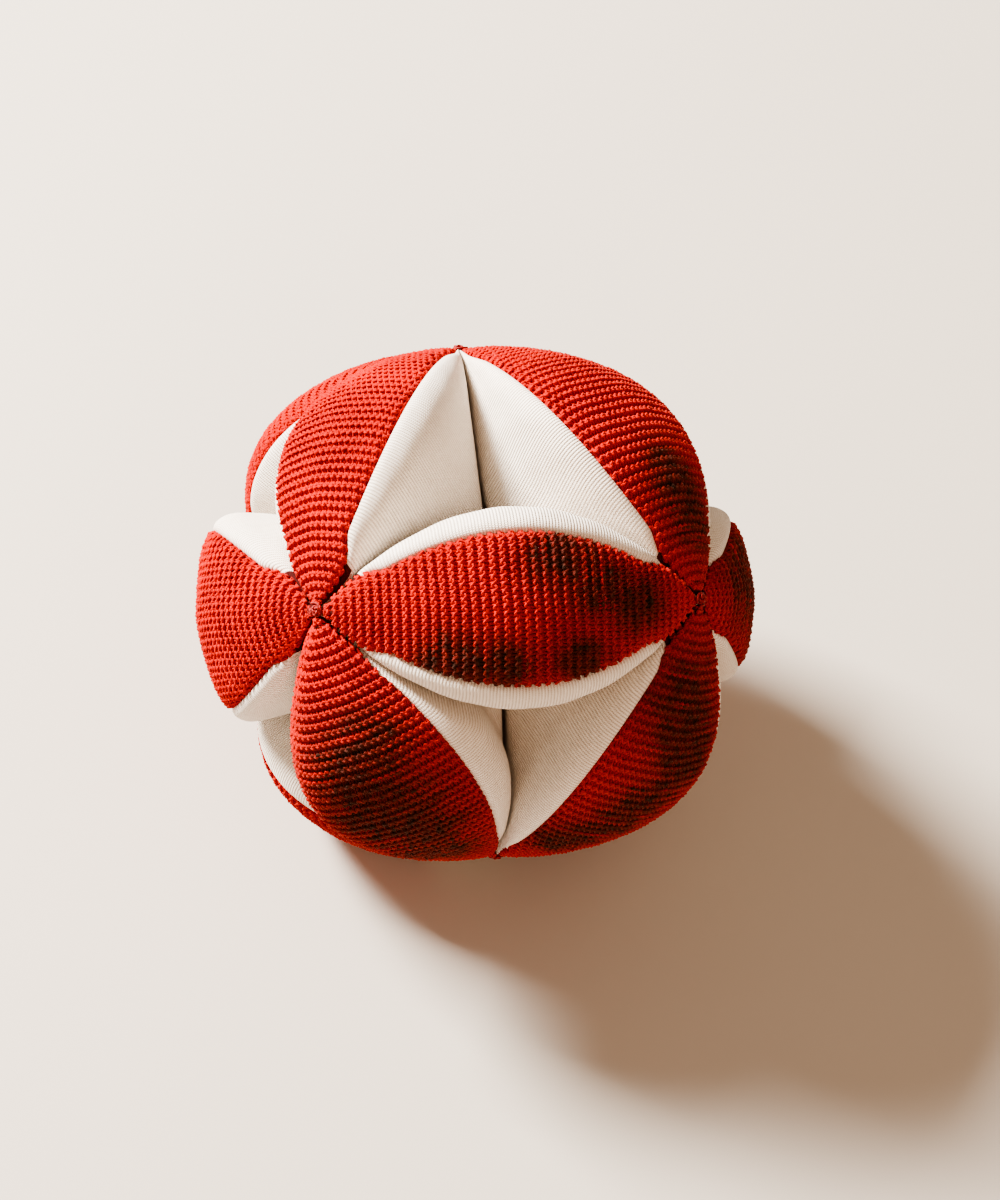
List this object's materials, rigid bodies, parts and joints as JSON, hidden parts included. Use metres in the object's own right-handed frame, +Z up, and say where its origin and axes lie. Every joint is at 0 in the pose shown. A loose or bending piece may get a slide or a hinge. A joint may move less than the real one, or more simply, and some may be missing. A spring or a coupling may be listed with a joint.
{
  "type": "puzzle ball",
  "caption": "Soft stuffed puzzle ball of knitted wedges in interlocking rings, with red ridged outsides, white sides and triangular finger hollows to grip.",
  "frame": {"origin": "on the surface that the ball rests on, under the middle of the ball", "axes": "+Z up through the middles of the top and bottom hollows; +Y towards the upper corner that the wedges b1, b2, c1 and c4 share; the wedge a1 lies level across the front"},
  "size_m": [0.14, 0.133, 0.1285],
  "materials": {
    "red_knit": "ridged garter knit in heathered red yarn, matte",
    "white_knit": "fine smooth knit in off-white yarn, matte",
    "fibre_filling": "loose white fibre, matte",
    "red_thread": "twisted sewing yarn, matte"
  },
  "bodies": {
    "tip_tacks": {"tip_tack_a1": "red_thread", "tip_tack_a2": "red_thread", "tip_tack_a3": "red_thread", "tip_tack_a4": "red_thread", "tip_tack_b1": "red_thread", "tip_tack_b2": "red_thread", "tip_tack_b3": "red_thread", "tip_tack_b4": "red_thread", "tip_tack_c1": "red_thread", "tip_tack_c2": "red_thread", "tip_tack_c3": "red_thread", "tip_tack_c4": "red_thread"},
    "wedge_a1": {"outer_panel_a1": "red_knit", "side_panel_a1": "white_knit", "filling_a1": "fibre_filling"},
    "wedge_a2": {"outer_panel_a2": "red_knit", "side_panel_a2": "white_knit", "filling_a2": "fibre_filling"},
    "wedge_a3": {"outer_panel_a3": "red_knit", "side_panel_a3": "white_knit", "filling_a3": "fibre_filling"},
    "wedge_a4": {"outer_panel_a4": "red_knit", "side_panel_a4": "white_knit", "filling_a4": "fibre_filling"},
    "wedge_b1": {"outer_panel_b1": "red_knit", "side_panel_b1": "white_knit", "filling_b1": "fibre_filling"},
    "wedge_b2": {"outer_panel_b2": "red_knit", "side_panel_b2": "white_knit", "filling_b2": "fibre_filling"},
    "wedge_b3": {"outer_panel_b3": "red_knit", "side_panel_b3": "white_knit", "filling_b3": "fibre_filling"},
    "wedge_b4": {"outer_panel_b4": "red_knit", "side_panel_b4": "white_knit", "filling_b4": "fibre_filling"},
    "wedge_c1": {"outer_panel_c1": "red_knit", "side_panel_c1": "white_knit", "filling_c1": "fibre_filling"},
    "wedge_c2": {"outer_panel_c2": "red_knit", "side_panel_c2": "white_knit", "filling_c2": "fibre_filling"},
    "wedge_c3": {"outer_panel_c3": "red_knit", "side_panel_c3": "white_knit", "filling_c3": "fibre_filling"},
    "wedge_c4": {"outer_panel_c4": "red_knit", "side_panel_c4": "white_knit", "filling_c4": "fibre_filling"}
  },
  "joints": [
    {"name": "rock_a1", "type": "hinge", "parent": "tip_tacks", "child": "wedge_a1", "pos_m": [0, -0.02622, 0.10066], "axis": [1, 0, 0], "range_deg": [-4, 4], "stiffness_Nm_per_rad": 0.6},
    {"name": "rock_a2", "type": "hinge", "parent": "tip_tacks", "child": "wedge_a2", "pos_m": [0.04541, 0, 0.06358], "axis": [0, 0.5773, -0.8165], "range_deg": [-4, 4], "stiffness_Nm_per_rad": 0.6},
    {"name": "rock_a3", "type": "hinge", "parent": "tip_tacks", "child": "wedge_a3", "pos_m": [0, 0.02622, 0.0265], "axis": [-1, 0, 0], "range_deg": [-4, 4], "stiffness_Nm_per_rad": 0.6},
    {"name": "rock_a4", "type": "hinge", "parent": "tip_tacks", "child": "wedge_a4", "pos_m": [-0.04541, 0, 0.06358], "axis": [0, -0.5773, 0.8165], "range_deg": [-4, 4], "stiffness_Nm_per_rad": 0.6},
    {"name": "rock_b1", "type": "hinge", "parent": "tip_tacks", "child": "wedge_b1", "pos_m": [0.0227, 0.01311, 0.10066], "axis": [-0.5, 0.866, 0], "range_deg": [-4, 4], "stiffness_Nm_per_rad": 0.6},
    {"name": "rock_b2", "type": "hinge", "parent": "tip_tacks", "child": "wedge_b2", "pos_m": [-0.0227, 0.03933, 0.06358], "axis": [-0.5, -0.2887, -0.8165], "range_deg": [-4, 4], "stiffness_Nm_per_rad": 0.6},
    {"name": "rock_b3", "type": "hinge", "parent": "tip_tacks", "child": "wedge_b3", "pos_m": [-0.0227, -0.01311, 0.0265], "axis": [0.5, -0.866, 0], "range_deg": [-4, 4], "stiffness_Nm_per_rad": 0.6},
    {"name": "rock_b4", "type": "hinge", "parent": "tip_tacks", "child": "wedge_b4", "pos_m": [0.0227, -0.03933, 0.06358], "axis": [0.5, 0.2887, 0.8165], "range_deg": [-4, 4], "stiffness_Nm_per_rad": 0.6},
    {"name": "rock_c1", "type": "hinge", "parent": "tip_tacks", "child": "wedge_c1", "pos_m": [-0.0227, 0.01311, 0.10066], "axis": [-0.5, -0.866, 0], "range_deg": [-4, 4], "stiffness_Nm_per_rad": 0.6},
    {"name": "rock_c2", "type": "hinge", "parent": "tip_tacks", "child": "wedge_c2", "pos_m": [-0.0227, -0.03933, 0.06358], "axis": [0.5, -0.2887, -0.8165], "range_deg": [-4, 4], "stiffness_Nm_per_rad": 0.6},
    {"name": "rock_c3", "type": "hinge", "parent": "tip_tacks", "child": "wedge_c3", "pos_m": [0.0227, -0.01311, 0.0265], "axis": [0.5, 0.866, 0], "range_deg": [-4, 4], "stiffness_Nm_per_rad": 0.6},
    {"name": "rock_c4", "type": "hinge", "parent": "tip_tacks", "child": "wedge_c4", "pos_m": [0.0227, 0.03933, 0.06358], "axis": [-0.5, 0.2887, 0.8165], "range_deg": [-4, 4], "stiffness_Nm_per_rad": 0.6}
  ]
}
